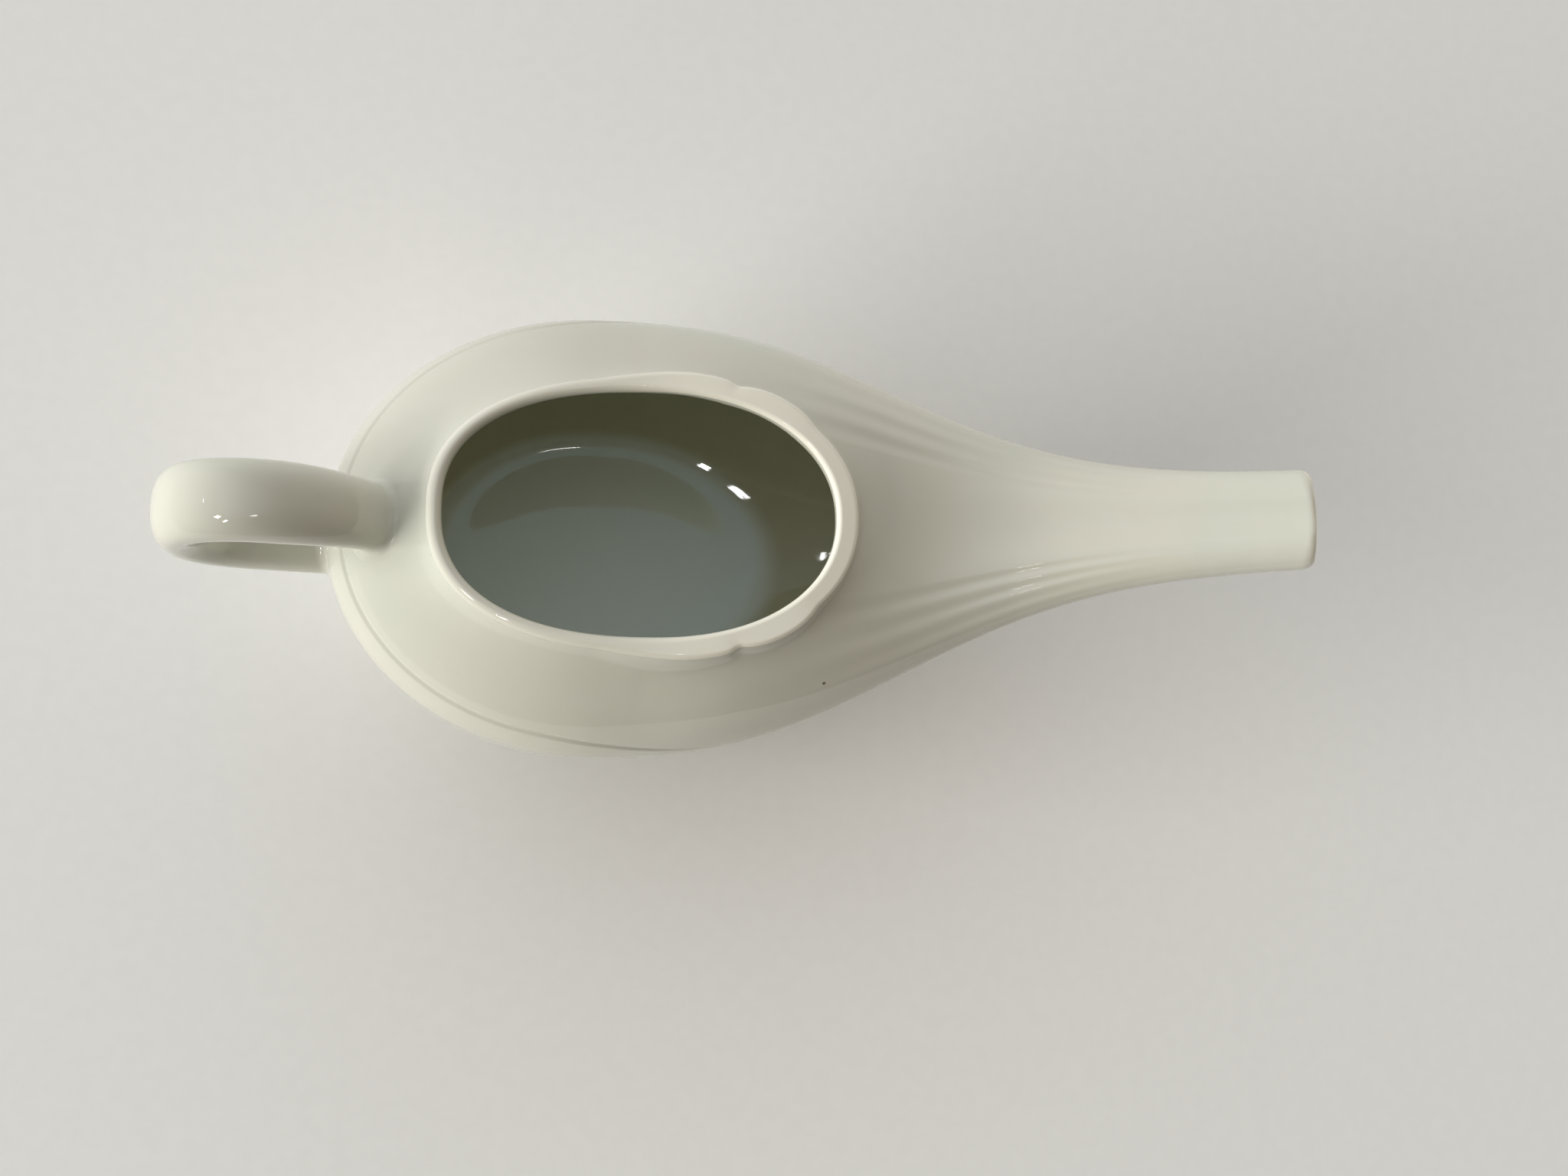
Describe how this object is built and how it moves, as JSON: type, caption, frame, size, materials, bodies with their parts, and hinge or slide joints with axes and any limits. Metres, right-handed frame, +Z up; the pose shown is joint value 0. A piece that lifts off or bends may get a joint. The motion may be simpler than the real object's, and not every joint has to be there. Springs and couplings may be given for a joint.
{
  "type": "boat-shaped feeding bottle",
  "caption": "White glazed ceramic boat-shaped feeder with an oval mouth, a scalloped collar, a fluted spout and a loop handle.",
  "frame": {"origin": "on the table, at the foot's resting face, under the widest station of the body, in the plane that halves the vessel", "axes": "+X towards the spout's end, +Y to the left of the spout as seen from above with the spout ahead, +Z up from the table"},
  "size_m": [0.1813, 0.072, 0.0659],
  "materials": {
    "glaze": "glossy",
    "biscuit": "matte"
  },
  "bodies": {
    "root": {"bowl": "glaze", "foot_ring": "biscuit", "deck": "glaze", "collar": "glaze", "spout": "glaze", "spout_lip": "glaze", "handle": "glaze"}
  },
  "joints": []
}
